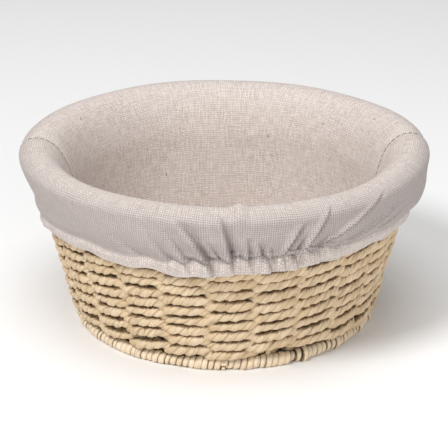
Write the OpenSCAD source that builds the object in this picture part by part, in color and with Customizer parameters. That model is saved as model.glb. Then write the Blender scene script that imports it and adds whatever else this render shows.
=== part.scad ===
// Round proofing basket: a wire and paper-cord basket with a lift-out linen liner.
// Millimetres. The origin is the centre of the footprint on the table, +Z is up,
// and the gathered side of the liner faces -Y.

/* [Hoops] */
// Centre-line radius of the base hoop
base_r = 72.5; // [71:0.5:74]
// Centre-line radius of the rim hoop
rim_r = 91.8; // [91:0.2:94]
// Height of the rim hoop's centre line
rim_z = 82.4; // [80:0.2:90]
// Radius of both hoop wires
hoop_wire_r = 1.6; // [1.2:0.1:1.7]
// Outer radius of the paper whipping on the base hoop
base_wrap_r = 3.0; // [2.6:0.1:3.2]
// Outer radius of the paper whipping on the rim
rim_wrap_r = 5.0; // [4.4:0.1:5]
// How much of the base whipping is pressed flat where it rests
rest_flat = 0.2; // [0.1:0.05:0.4]

/* [Stakes] */
// Number of upright stakes round the wall
stakes = 24; // [20:4:28]
// Angle of the first stake from the front, towards +X
stake_phase = 1.5; // [-2:0.5:2]
// Radius of a stake's steel wire
stake_wire_r = 0.8; // [0.6:0.1:0.9]
// Outer radius of a stake with its paper sleeve
stake_r = 1.2; // [1:0.1:1.4]

/* [Wall weave] */
// Number of woven courses
courses = 12; // [9:1:12]
// Height of the lowest course's middle
first_course_z = 12; // [11.5:0.1:12.5]
// Radial thickness of a flattened cord
cord_t = 3.4; // [2.8:0.1:3.6]

/* [Base weave] */
// Radius of the straight rods under the base weave
rod_r = 1.0; // [0.8:0.1:1.1]
// Number of base rods on each side of the middle
rods_per_side = 4; // [3:1:4]
// Number of cords across the base
base_cords = 27; // [21:2:27]
// Spacing of the base cords
base_cord_pitch = 4.6; // [4:0.1:4.6]

/* [Liner] */
// Cloth thickness
cloth_t = 0.8; // [0.5:0.1:0.8]
// Radius of the rolled edge where the liner turns over the rim
roll = 7.05; // [7:0.05:7.6]
// Height of the cuff's lower edge
hem_z = 51; // [46:0.5:56]
// Height of the hem channel
hem_h = 6; // [5:0.5:8]
// Width of the flat elastic in the hem
elastic_w = 4; // [3:0.5:4]
// Radius of the sewing thread
thread_r = 0.25; // [0.15:0.05:0.3]

/* [Hidden] */
$fn = 96;
ring_facets = 48;                              // round a ring's section
rod_facets = 24;                               // round a rod

steel = [0.62, 0.63, 0.65];
paper = [0.87, 0.76, 0.57];
linen = [0.80, 0.76, 0.74];
rubber_white = [0.93, 0.92, 0.90];
thread_grey = [0.60, 0.56, 0.53];

gap = 0.1;                                     // clearance between neighbouring pieces
hoop_z = base_wrap_r - rest_flat;              // base hoop's centre height
strand_t = 1.2;                                // thickness of the rim's whipping
core_r = rim_wrap_r - strand_t;                // outside of the rim's cord core

stake_pitch = 360 / stakes;
weld_gap = 0.35;                               // foot of a stake above the base hoop wire
foot_inset = 1.1;                              // stakes stand this far inside the base hoop's line
head_inset = 2.9;                              // and end this far inside the rim's line
head_drop = 3.2;                               // and this far under it, inside the rim whipping
stake_foot = [base_r - foot_inset, hoop_z + hoop_wire_r + weld_gap];
stake_head = [rim_r - head_inset, rim_z - head_drop];
lean = (stake_head.x - stake_foot.x) / (stake_head.y - stake_foot.y);
lean_angle = atan(lean);
stake_len = norm(stake_head - stake_foot);

max_course_half = 2.6;                         // a course is at most twice this high
course_top = rim_z - rim_wrap_r - gap;
first_course_floor = hoop_z + hoop_wire_r + 2 * rod_r + 2 * gap;
course_half = min(max_course_half, first_course_z - first_course_floor);
course_pitch = (course_top - course_half - first_course_z) / (courses - 1);
strand_h = course_half - gap / 2;
weave_off = stake_r / cos(lean_angle) + lean * strand_h / 2 + gap + cord_t / 2;
weave_half = weave_off + cord_t / 2 + lean * course_half;
straight_run = 0.2;                            // share of a pitch a strand runs straight each way

rod_z = hoop_z + hoop_wire_r + rod_r + gap / 2;
rod_reach = base_r - sqrt(pow(base_wrap_r, 2) - pow(rod_z - rod_r - hoop_z, 2)) - gap;
rod_angles = [for (k = [-rods_per_side : rods_per_side - 1]) (k + 0.5) * stake_pitch];
base_lift = 0.5;                               // base weave clear of the table
base_cord_t = rod_z - rod_r - 2 * gap - base_lift;
base_cord_w = base_cord_pitch - 3 * gap;
base_cord_off = rod_r + gap + base_cord_t / 2;
base_disc_r = stake_radius(first_course_z) - weave_half - gap;

floor_z = rod_z + base_cord_off + base_cord_t / 2 + gap;
roll_out = 1.1;                                // the roll sits this far outside the rim's line
roll_at = [rim_r + roll_out, rim_z];
roll_mid = roll - cloth_t / 2;
foot_clear = 0.3;                              // liner's foot inside the weave
hem_clear = 0.4;                               // hem outside the weave
liner_off = weave_half + foot_clear;
cuff_off = weave_half + hem_clear;
hem_room = 1.2;                                // inside width of the hem channel
hem_t = 2 * cloth_t + hem_room;
hem_top = hem_z + hem_h;
neck_in = 17.3;                                // the liner's neck, inside the rim's line
neck_down = 16.4;                              // and below it
neck_pull = [3, 20.5];                         // pulls the curve from the neck to the crest
crest_turn = 88;                               // angle where the cuff starts, just past the crest
cuff_turn = -10;                               // angle where the cuff leaves the rolled edge
cuff_pull = [5, 11];                           // swells the cuff out above the hem
wall_steps = 9;                                // straight pieces from the neck to the crest
roll_steps = 8;                                // over the rolled edge
cuff_steps = 5;                                // down the cuff
fold_steps = 6;                                // round the hem's fold
seam_start = 1 / 16;                           // share of the lower wall left free under the side seams

// Distance of a stake's centre line from the axis at height z
function stake_radius(z) = stake_foot.x + lean * (z - stake_foot.y);

// Distance of the hem's middle from the axis at height z
function hem_middle(z) = stake_radius(z) + cuff_off + hem_t / 2;

// Points of an arc, angles in degrees
function arc(centre, r, from, to, steps) =
    [for (i = [0 : steps]) let (a = from + (to - from) * i / steps)
        centre + r * [cos(a), sin(a)]];

// Points of a curve from a to b, pulled towards c
function bezier(a, c, b, steps) =
    [for (i = [0 : steps]) let (u = i / steps) (1 - u) * (1 - u) * a + 2 * u * (1 - u) * c + u * u * b];

// Unit normal of a polyline at point i
function side(path, i) =
    let (a = path[max(i - 1, 0)], b = path[min(i + 1, len(path) - 1)], d = (b - a) / norm(b - a))
    [-d.y, d.x];

// A polyline moved sideways by a distance
function shifted(path, by) = [for (i = [0 : len(path) - 1]) path[i] + by * side(path, i)];

// Closed outline of a strip of cloth that follows a polyline
function strip(path, t, by = 0) =
    concat(shifted(path, by + t / 2), [for (i = [len(path) - 1 : -1 : 0]) (shifted(path, by - t / 2))[i]]);

// Radius of a woven strand's middle at an angle: outside one stake, inside the next
function weave_points(mid_r, turn, shift) =
    [for (k = [0 : stakes - 1], s = [-1, 1])
        let (a = stake_phase - 90 + (k + s * straight_run) * stake_pitch,
             r = mid_r + shift + ((k + turn) % 2 == 0 ? weave_off : -weave_off))
        r * [cos(a), sin(a)]];

// Liner's inner wall from its foot to the crest, in radius and height.
// It hangs free of the weave and opens out like a funnel near the rim.
liner_foot = [stake_radius(floor_z) - liner_off - cloth_t / 2, floor_z];
liner_neck = [rim_r - neck_in, rim_z - neck_down];
liner_crest = roll_at + [0, roll_mid];
inner_path = concat([liner_foot], bezier(liner_neck, liner_neck + neck_pull, liner_crest, wall_steps));

// Cuff from the crest down to the hem, then folded in and up to make the channel
fold_r = (hem_t - cloth_t) / 2;
hem_fold = [hem_middle(hem_z + hem_t / 2), hem_z + hem_t / 2];
cuff_edge = roll_at + roll_mid * [cos(cuff_turn), sin(cuff_turn)];
hem_edge = [hem_middle(hem_top) + fold_r, hem_top];
cuff_drop = bezier(cuff_edge, hem_edge + cuff_pull, hem_edge, cuff_steps);
cuff_path = concat(
    arc(roll_at, roll_mid, crest_turn, cuff_turn, roll_steps),
    [for (i = [1 : len(cuff_drop) - 1]) cuff_drop[i]]);
hem_path = concat(
    cuff_path,
    arc(hem_fold, fold_r, 0, -180, fold_steps),
    [[hem_middle(hem_top) - fold_r, hem_top]]);

// Side seam from just above the liner's foot, over the crest, to the hem
seam_foot = liner_foot + seam_start * (liner_neck - liner_foot);
seam_path = concat(
    [seam_foot],
    [for (i = [1 : len(inner_path) - 1]) inner_path[i]],
    [for (i = [1 : len(cuff_path) - 1]) cuff_path[i]]);

module ring(r, z, section_r) {
    translate([0, 0, z]) rotate_extrude() translate([r, 0]) circle(section_r, $fn = ring_facets);
}

// Hollow ring, such as whipping round a wire
module sleeve_ring(r, z, outer_r, inner_r) {
    translate([0, 0, z]) rotate_extrude() translate([r, 0]) difference() {
        circle(outer_r, $fn = ring_facets);
        circle(inner_r, $fn = ring_facets);
    }
}

// One rod at every stake's place
module at_stakes(r) {
    for (k = [0 : stakes - 1])
        rotate([0, 0, stake_phase - 90 + k * stake_pitch])
            translate([stake_foot.x, 0, stake_foot.y])
                rotate([0, lean_angle, 0])
                    cylinder(h = stake_len, r = r, $fn = rod_facets);
}

// Straight rods across the base, each between two stakes
module at_rods(r, reach) {
    for (a = rod_angles) {
        half_len = sqrt(pow(reach, 2) - pow(base_r * abs(sin(a)) + r, 2));
        translate([-half_len, base_r * sin(a), rod_z])
            rotate([0, 90, 0])
                cylinder(h = 2 * half_len, r = r, $fn = rod_facets);
    }
}

// One closed ring of a woven cord
module weave_ring(z, turn) {
    mid_r = stake_radius(z + strand_h / 2);
    translate([0, 0, z]) linear_extrude(strand_h) difference() {
        polygon(weave_points(mid_r, turn, cord_t / 2));
        polygon(weave_points(mid_r, turn, -cord_t / 2));
    }
}

// Half turn of a cloth profile; front is the -Y half
module half_turn(front) {
    rotate([0, 0, front ? 180 : 0]) rotate_extrude(angle = 180) children();
}

module base_hoop_wire() {
    color(steel) ring(base_r, hoop_z, hoop_wire_r);
}

// Whipping pressed flat where it rests on the table
module base_hoop_wrap() {
    color(paper) difference() {
        rotate_extrude() translate([base_r, hoop_z]) difference() {
            circle(base_wrap_r, $fn = ring_facets);
            circle(hoop_wire_r + gap / 2, $fn = ring_facets);
            translate([-base_wrap_r, -hoop_z - base_wrap_r]) square([2 * base_wrap_r, base_wrap_r]);
        }
        at_stakes(stake_r + gap / 2);
    }
}

module base_rods() {
    color(steel) at_rods(rod_r, rod_reach);
}

module base_weaver() {
    color(paper) for (i = [0 : base_cords - 1])
        base_cord((i - (base_cords - 1) / 2) * base_cord_pitch, i % 2);
}

// A cord that passes over one rod and under the next
module base_cord(x, turn) {
    half_len = sqrt(pow(base_disc_r, 2) - pow(abs(x) + base_cord_w / 2, 2));
    flat = 2 * rod_r;
    crossed = [for (k = [0 : len(rod_angles) - 1])
        if (abs(base_r * sin(rod_angles[k])) < half_len + rod_r + gap) k];
    last = len(crossed) - 1;
    path = [for (i = [0 : last], s = [-1, 1])
        let (k = crossed[i], outer = (i == 0 && s < 0) || (i == last && s > 0))
            [outer ? s * half_len : base_r * sin(rod_angles[k]) + s * flat,
             rod_z + ((k + turn) % 2 == 0 ? base_cord_off : -base_cord_off)]];
    translate([x, 0, 0]) rotate([90, 0, 90]) translate([0, 0, -base_cord_w / 2])
        linear_extrude(base_cord_w)
            polygon(concat(
                [for (p = path) p + [0, base_cord_t / 2]],
                [for (i = [len(path) - 1 : -1 : 0]) path[i] - [0, base_cord_t / 2]]));
}

module stake_wires() {
    color(steel) at_stakes(stake_wire_r);
}

module stake_wraps() {
    color(paper) difference() {
        at_stakes(stake_r);
        at_stakes(stake_wire_r + gap / 2);
    }
}

module wall_weaver_a() {
    color(paper) for (k = [0 : courses - 1])
        weave_ring(first_course_z + k * course_pitch - course_half, k % 2);
}

module wall_weaver_b() {
    color(paper) for (k = [0 : courses - 1])
        weave_ring(first_course_z + k * course_pitch + gap / 2, (k + 1) % 2);
}

module rim_hoop_wire() {
    color(steel) ring(rim_r, rim_z, hoop_wire_r);
}

module rim_core() {
    color(paper) sleeve_ring(rim_r, rim_z, core_r - gap / 2, hoop_wire_r + gap / 2);
}

module rim_wrap() {
    color(paper) difference() {
        sleeve_ring(rim_r, rim_z, rim_wrap_r, core_r);
        at_stakes(stake_r + gap / 2);
    }
}

module liner_base() {
    color(linen) translate([0, 0, floor_z])
        cylinder(h = cloth_t, r = liner_foot.x - cloth_t / 2 - gap);
}

module liner_front() {
    color(linen) half_turn(true) polygon(strip(inner_path, cloth_t));
}

module liner_back() {
    color(linen) half_turn(false) polygon(strip(inner_path, cloth_t));
}

// Cuff with the hem channel that holds the elastic
module cuff_front() {
    color(linen) half_turn(true) polygon(strip(hem_path, cloth_t));
}

module cuff_back() {
    color(linen) half_turn(false) polygon(strip(hem_path, cloth_t));
}

module hem_elastic() {
    half = (hem_t - 2 * cloth_t) / 2 - gap;
    low = hem_fold.y + gap;
    high = min(low + elastic_w, hem_top);
    color(rubber_white) rotate_extrude()
        polygon([[hem_middle(low) - half, low], [hem_middle(low) + half, low],
                 [hem_middle(high) + half, high], [hem_middle(high) - half, high]]);
}

module hem_thread() {
    z = hem_top - cloth_t;
    color(thread_grey) ring(hem_middle(z) + hem_t / 2 + thread_r + gap, z, thread_r);
}

module base_seam_thread() {
    color(thread_grey)
        ring(liner_foot.x - cloth_t - thread_r - gap, floor_z + cloth_t + thread_r + gap, thread_r);
}

// Stitch line that follows the visible face of the cloth, over the crest
module seam_strip() {
    rise = cloth_t / 2 + gap + thread_r;
    rotate([90, 0, 0]) translate([0, 0, -thread_r])
        linear_extrude(2 * thread_r) polygon(strip(seam_path, 2 * thread_r, rise));
}

module side_seam_thread_left() {
    color(thread_grey) rotate([0, 0, 180]) seam_strip();
}

module side_seam_thread_right() {
    color(thread_grey) seam_strip();
}

base_hoop_wire();
base_hoop_wrap();
base_rods();
base_weaver();
stake_wires();
stake_wraps();
wall_weaver_a();
wall_weaver_b();
rim_hoop_wire();
rim_core();
rim_wrap();
liner_base();
liner_front();
liner_back();
cuff_front();
cuff_back();
hem_elastic();
hem_thread();
base_seam_thread();
side_seam_thread_left();
side_seam_thread_right();
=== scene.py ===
import math

import bpy
import numpy as np
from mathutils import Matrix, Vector


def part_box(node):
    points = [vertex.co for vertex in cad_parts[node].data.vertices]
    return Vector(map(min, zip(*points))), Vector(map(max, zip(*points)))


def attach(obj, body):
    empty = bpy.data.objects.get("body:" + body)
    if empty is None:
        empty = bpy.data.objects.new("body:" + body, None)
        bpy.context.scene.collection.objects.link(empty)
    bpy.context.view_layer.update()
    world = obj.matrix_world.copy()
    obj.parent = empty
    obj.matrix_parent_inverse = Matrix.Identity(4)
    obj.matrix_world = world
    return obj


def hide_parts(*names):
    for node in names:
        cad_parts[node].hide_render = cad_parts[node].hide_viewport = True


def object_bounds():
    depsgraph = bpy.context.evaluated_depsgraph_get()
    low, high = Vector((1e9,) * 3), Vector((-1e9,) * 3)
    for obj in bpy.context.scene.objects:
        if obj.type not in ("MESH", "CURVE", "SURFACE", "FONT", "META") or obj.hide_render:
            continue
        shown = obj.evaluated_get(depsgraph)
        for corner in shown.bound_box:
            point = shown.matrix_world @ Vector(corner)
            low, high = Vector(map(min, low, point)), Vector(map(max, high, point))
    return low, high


# Round proofing basket: twined paper cord on a wire frame, with a gathered linen liner.
# Angles round the basket start at the front (-Y) and grow towards +X. All lengths are metres.

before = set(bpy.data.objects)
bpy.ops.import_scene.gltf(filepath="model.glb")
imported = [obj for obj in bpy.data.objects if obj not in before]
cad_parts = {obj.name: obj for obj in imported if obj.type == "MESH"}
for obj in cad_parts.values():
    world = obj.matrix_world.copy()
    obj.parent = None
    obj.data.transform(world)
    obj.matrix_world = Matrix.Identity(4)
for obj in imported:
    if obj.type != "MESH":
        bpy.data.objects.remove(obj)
cad_low, cad_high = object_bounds()
MM = 0.001
DEG = math.pi / 180
TURN = 2 * math.pi


# ---- sizes taken from the frame

def tube_of(node):
    """Ring radius, height and section radius of a torus-shaped CAD node."""
    low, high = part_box(node)
    section = (high.z - low.z) / 2
    return high.x - section, (high.z + low.z) / 2, section


def clusters(values, gap):
    """The values in order, split wherever they lie further apart than the gap."""
    values = np.sort(values)
    return np.split(values, np.nonzero(np.diff(values) > gap)[0] + 1)


def stake_line():
    """Foot and head of the stakes as (radius, height), and the angle of each stake."""
    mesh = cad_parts["stake_wires"].data
    points = np.array([v.co for v in mesh.vertices])
    radius = np.hypot(points[:, 0], points[:, 1])
    at_foot = points[:, 2] < points[:, 2].min() + 1 * MM
    at_head = points[:, 2] > points[:, 2].max() - 1 * MM
    foot = np.array([radius[at_foot].mean(), points[at_foot, 2].mean()])
    head = np.array([radius[at_head].mean(), points[at_head, 2].mean()])
    between = 4 * DEG
    groups = clusters(np.arctan2(points[at_foot, 0], -points[at_foot, 1]), between)
    if groups[0][0] + TURN - groups[-1][-1] < between:
        groups[0] = np.concatenate([groups[0], groups.pop() - TURN])
    return foot, head, np.array([g.mean() for g in groups])


base_r, base_z, _ = tube_of("base_hoop_wire")
rim_r, rim_z, _ = tube_of("rim_hoop_wire")
base_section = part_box("base_hoop_wrap")[1].x - base_r
rim_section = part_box("rim_wrap")[1].x - rim_r
stake_foot, stake_head, stake_angles = stake_line()
stake_wire_r = 0.8 * MM
stake_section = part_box("stake_wraps")[1].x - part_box("stake_wires")[1].x + stake_wire_r
stake_step = TURN / len(stake_angles)
stake_start = stake_angles[np.argmin(np.abs(stake_angles))]
lean = (stake_head[0] - stake_foot[0]) / (stake_head[1] - stake_foot[1])
weave_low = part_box("wall_weaver_a")[0].z
weave_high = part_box("wall_weaver_b")[1].z
floor_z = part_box("liner_base")[0].z
floor_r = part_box("liner_base")[1].x
crest_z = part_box("liner_front")[1].z
crest_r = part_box("liner_front")[1].x
cuff_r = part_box("cuff_front")[1].x


def stake_radius(z):
    """Distance of a stake's middle from the axis at a height."""
    return stake_foot[0] + lean * (z - stake_foot[1])


# ---- mesh and path helpers

def together(*parts):
    """The parts spread to one shape and set side by side in a last axis."""
    return np.stack(np.broadcast_arrays(*parts), -1)


def place(angle, radius, z):
    """Points from angle round the basket, radius and height."""
    return together(radius * np.sin(angle), -radius * np.cos(angle), z)


def unit(v):
    return v / np.maximum(np.linalg.norm(v, axis=-1, keepdims=True), 1e-12)


def eased(u):
    """0 to 1 with a soft start and end."""
    return u * u * (3 - 2 * u)


def bell(d, width):
    """1 at d = 0, dying away over a width."""
    return np.exp(-((d / width) ** 2))


def between_levels(level, t):
    """Value at t on the smooth curve through evenly spaced levels."""
    i = np.floor(t).astype(int)
    u = eased(t - i)
    return level[i] * (1 - u) + level[i + 1] * u


def smooth_noise(x, step, amount, source):
    """Wandering value along x, with a new random level every step."""
    lo = math.floor(x.min() / step) - 2
    hi = math.ceil(x.max() / step) + 3
    return between_levels(source.normal(0, amount, hi - lo), x / step - lo)


def ring_noise(angle, waves, amount, source):
    """Wandering value round a circle that closes on itself."""
    total = 0 * angle
    for k in waves:
        size = source.normal(0, amount / math.sqrt(len(waves)))
        total = total + size * np.cos(k * angle + source.uniform(0, TURN))
    return total


def spline_weights(u):
    """Weights of four neighbouring points of a smooth curve, at u between the middle two."""
    return (
        0.5 * (-u + 2 * u * u - u**3),
        0.5 * (2 - 5 * u * u + 3 * u**3),
        0.5 * (u + 4 * u * u - 3 * u**3),
        0.5 * (-u * u + u**3),
    )


def curve_through(points, per_span):
    """Smooth curve through points, with per_span steps between each two."""
    p = np.asarray(points, float)
    p = np.concatenate([[2 * p[0] - p[1]], p, [2 * p[-1] - p[-2]]])
    u = np.arange(per_span)[:, None] / per_span
    out = []
    for a, b, c, d in zip(p[:-3], p[1:-2], p[2:-1], p[3:]):
        out.append(sum(w * q for w, q in zip(spline_weights(u), (a, b, c, d))))
    out.append(p[-2][None])
    return np.concatenate(out)


def read_at(where, s, values):
    """Points or directions given along s, read at other distances."""
    return np.stack([np.interp(where, s, values[:, k]) for k in range(3)], -1)


def even_steps(path, step):
    """The same polyline with points a fixed distance apart."""
    length = np.concatenate([[0], np.cumsum(np.linalg.norm(np.diff(path, axis=0), axis=1))])
    s = np.linspace(0, length[-1], max(4, int(length[-1] / step)))
    return read_at(s, length, path), s


def skin(path, u, v, out, up):
    """Ring of points round every point of a path, u along out and v along up."""
    return path[:, None, :] + u[..., None] * out[:, None, :] + v[..., None] * up[:, None, :]


def strand_map(around, s):
    """Map of a strand: turns round it and centimetres along it."""
    return together(around[None, :], s[:, None] / (10 * MM))


def make_piece(name, verts, faces, material, body, nodes, uv=None, values=None):
    """A smooth-shaded mesh that rides on a body, with the CAD nodes it takes the place of hidden.

    uv has a pair for each vertex, values a number.
    """
    mesh = bpy.data.meshes.new(name)
    mesh.from_pydata(verts.tolist(), [], [list(f) for f in faces])
    corner = np.zeros(len(mesh.loops), np.int32)
    mesh.loops.foreach_get("vertex_index", corner)
    if uv is not None:
        layer = mesh.uv_layers.new(name="thread_map")
        layer.data.foreach_set("uv", np.asarray(uv, np.float32)[corner].ravel())
    for key, value in (values or {}).items():
        attribute = mesh.attributes.new(key, "FLOAT", "POINT")
        attribute.data.foreach_set("value", np.asarray(value, np.float32).ravel())
    mesh.polygons.foreach_set("use_smooth", [True] * len(mesh.polygons))
    mesh.materials.append(material)
    mesh.update()
    piece = bpy.data.objects.new(name, mesh)
    bpy.context.scene.collection.objects.link(piece)
    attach(piece, body)
    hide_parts(*nodes)


def tube_faces(rows, sides, offset=0):
    """Quads of an open tube and its two end faces."""
    r = np.arange(rows - 1)[:, None]
    k = np.arange(sides)[None, :]
    a = offset + r * sides + k
    b = offset + r * sides + (k + 1) % sides
    quads = np.stack([a, a + sides, b + sides, b], -1).reshape(-1, 4).tolist()
    first = [offset + i for i in range(sides)]
    last = [offset + (rows - 1) * sides + i for i in range(sides)][::-1]
    return quads + [first, last]


class Bundle:
    """Collects tubes into one mesh."""

    def __init__(self):
        self.verts, self.faces, self.uv, self.tone, self.groove_shade = [], [], [], [], []
        self.count = 0

    def add(self, points, uv=0, tone=0, groove_shade=0):
        """points is rows x sides x 3, and the rest is spread over its rows and sides."""
        rows, sides = points.shape[:2]
        self.verts.append(points.reshape(-1, 3))
        self.faces += tube_faces(rows, sides, self.count)
        self.uv.append(np.broadcast_to(uv, (rows, sides, 2)).reshape(-1, 2))
        self.tone.append(np.broadcast_to(tone, (rows, sides)).ravel())
        self.groove_shade.append(np.broadcast_to(groove_shade, (rows, sides)).ravel())
        self.count += rows * sides

    def piece(self, name, material, body, slot, node):
        make_piece(
            name, np.concatenate(self.verts), self.faces, material, body, (node,),
            uv=np.concatenate(self.uv),
            values={"tone": np.concatenate(self.tone), "groove_shade": np.concatenate(self.groove_shade)},
        )


def add_twisted_cord(bundle, path, s, out, up, half_out, half_up, twist, source, sides=14):
    """Two-ply twisted paper cord. out and up span its section, twist is the length of one turn."""
    ply_r, ply_off = 0.80, 0.235
    edge, lap = 0.80, 0.2
    phase = -TURN * s / twist + smooth_noise(s, 9 * MM, 0.3, source)
    theta = np.arange(sides) * TURN / sides
    for ply in (0, 1):
        turn = phase + ply * math.pi
        crease = 1 + sum(
            size * np.cos(k * theta[None, :] + smooth_noise(s, 4.5 * MM, 1.8, source)[:, None])
            for k, size in ((3, 0.040), (4, 0.040), (5, 0.038), (6, 0.030))
        )
        swell = 1 + smooth_noise(s, 4 * MM, 0.04, source)
        rho = ply_r * crease * swell[:, None]
        around = theta[None, :] + turn[:, None]
        u = ply_off * np.cos(turn)[:, None] + rho * np.cos(around)
        v = ply_off * np.sin(turn)[:, None] + rho * np.sin(around)
        points = skin(path, u * half_out[:, None], v * half_up[:, None], out, up)
        tone = smooth_noise(s, 14 * MM, 1.0, source)[:, None]
        # Painted shade: darker where the two plies meet and along the cord's top and bottom edges, where
        # it sits against the next course.
        between_plies = np.clip(1.03 - np.hypot(u, v), 0, 1)
        under_edge = np.clip(np.abs(v) - edge, 0, lap) / lap
        groove_shade = 0.62 * between_plies + 0.55 * under_edge
        bundle.add(points, strand_map(theta / TURN + ply, s), tone, groove_shade)


# ---- materials

def new_material(name, colour, roughness):
    material = bpy.data.materials.new(name)
    material.use_nodes = True
    tree = material.node_tree
    shader = tree.nodes["Principled BSDF"]
    shader.inputs["Base Color"].default_value = (*colour, 1)
    shader.inputs["Roughness"].default_value = roughness
    material.diffuse_color = (*colour, 1)
    return material, shader, Nodes(tree)


def srgb(r, g, b):
    """Linear colour from 0-255 display values."""
    return tuple(((c / 255 + 0.055) / 1.055) ** 2.4 if c > 10 else c / 255 / 12.92 for c in (r, g, b))


def darker(colour, factor):
    return tuple(factor * c for c in colour)


class Nodes:
    """Short calls for building a shader."""

    def __init__(self, tree):
        self.tree = tree

    def feed(self, socket, value):
        if isinstance(value, bpy.types.NodeSocket):
            self.tree.links.new(value, socket)
        else:
            socket.default_value = value

    def new(self, kind, **inputs):
        """A node of a kind, with some of its inputs set or linked."""
        node = self.tree.nodes.new("ShaderNode" + kind)
        for key, value in inputs.items():
            self.feed(node.inputs[key], value)
        return node

    def math(self, operation, a, b=0.0, c=0.0):
        node = self.new("Math")
        node.operation = operation
        for socket, value in zip(node.inputs, (a, b, c)):
            self.feed(socket, value)
        return node.outputs[0]

    def times(self, a, b):
        return self.math("MULTIPLY", a, b)

    def place(self):
        """Where a point is in space, in metres."""
        return self.new("TexCoord").outputs["Object"]

    def value_from(self, name):
        node = self.new("Attribute")
        node.attribute_name = name
        return node.outputs["Fac"]

    def uv(self):
        node = self.new("UVMap")
        node.uv_map = "thread_map"
        return node.outputs[0]

    def scaled(self, vector, x, y, z=1.0):
        return self.new("Mapping", Vector=vector, Scale=(x, y, z)).outputs[0]

    def noise(self, vector, scale, detail=2.0, rough=0.5):
        return self.new("TexNoise", Vector=vector, Scale=scale, Detail=detail, Roughness=rough).outputs[0]

    def ramp(self, value, low, high, out_low=0.0, out_high=1.0):
        node = self.new("MapRange")
        node.interpolation_type = "SMOOTHSTEP"
        for key, item in zip((0, 1, 2, 3, 4), (value, low, high, out_low, out_high)):
            self.feed(node.inputs[key], item)
        return node.outputs[0]

    def mix(self, factor, a, b, blend="MIX"):
        node = self.new("Mix")
        node.data_type = "RGBA"
        node.blend_type = blend
        self.feed(node.inputs["Factor"], factor)
        colours = [i for i in node.inputs if i.type == "RGBA"]
        for socket, value in zip(colours, (a, b)):
            self.feed(socket, (*value, 1) if isinstance(value, tuple) and len(value) == 3 else value)
        return [o for o in node.outputs if o.type == "RGBA"][0]

    def tinted(self, colour, mask, strength, tint):
        """The colour with a tint laid over it where the mask is high."""
        return self.mix(self.times(mask, strength), colour, tint)

    def bump(self, height, strength, distance):
        return self.new("Bump", Height=height, Strength=strength, Distance=distance).outputs[0]


def paper_material(name, light, mid, dark):
    """Crumpled paper strand: creases along the ply, with painted shade in the crease lines and in the
    grooves.
    """
    material, shader, n = new_material(name, mid, 0.78)
    uv = n.uv()
    place_3d = n.place()
    tone = n.ramp(n.value_from("tone"), -1.6, 1.6)
    patch = n.ramp(n.noise(place_3d, 90.0, 3.0), 0.32, 0.68)
    colour = n.mix(n.math("MULTIPLY_ADD", tone, 0.5, n.times(patch, 0.5)), light, mid)
    crease = n.noise(n.scaled(uv, 16.0, 1.2), 1.0, 3.0, 0.6)
    fine = n.noise(n.scaled(uv, 40.0, 5.0), 1.0, 2.0, 0.5)
    # Painted shade: thin dark lines in the low parts of the crease pattern, which also sets the bump.
    line = n.ramp(crease, 0.30, 0.46, 1.0, 0.0)
    colour = n.tinted(colour, line, 0.55, dark)
    # Painted shade where the mesh marks grooves between plies and the cord's edges against the next
    # course.
    depth = n.ramp(n.value_from("groove_shade"), 0.06, 0.30)
    colour = n.tinted(colour, depth, 0.85, dark)
    speck = n.ramp(n.noise(place_3d, 900.0, 1.0), 0.70, 0.78)
    colour = n.tinted(colour, speck, 0.5, dark)
    n.feed(shader.inputs["Base Color"], colour)
    n.feed(shader.inputs["Roughness"], n.ramp(crease, 0.2, 0.8, 0.86, 0.68))
    height = n.math("MULTIPLY_ADD", fine, 0.35, crease)
    n.feed(shader.inputs["Normal"], n.bump(height, 0.7, 0.35 * MM))
    shader.inputs["Specular IOR Level"].default_value = 0.3
    return material


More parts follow.
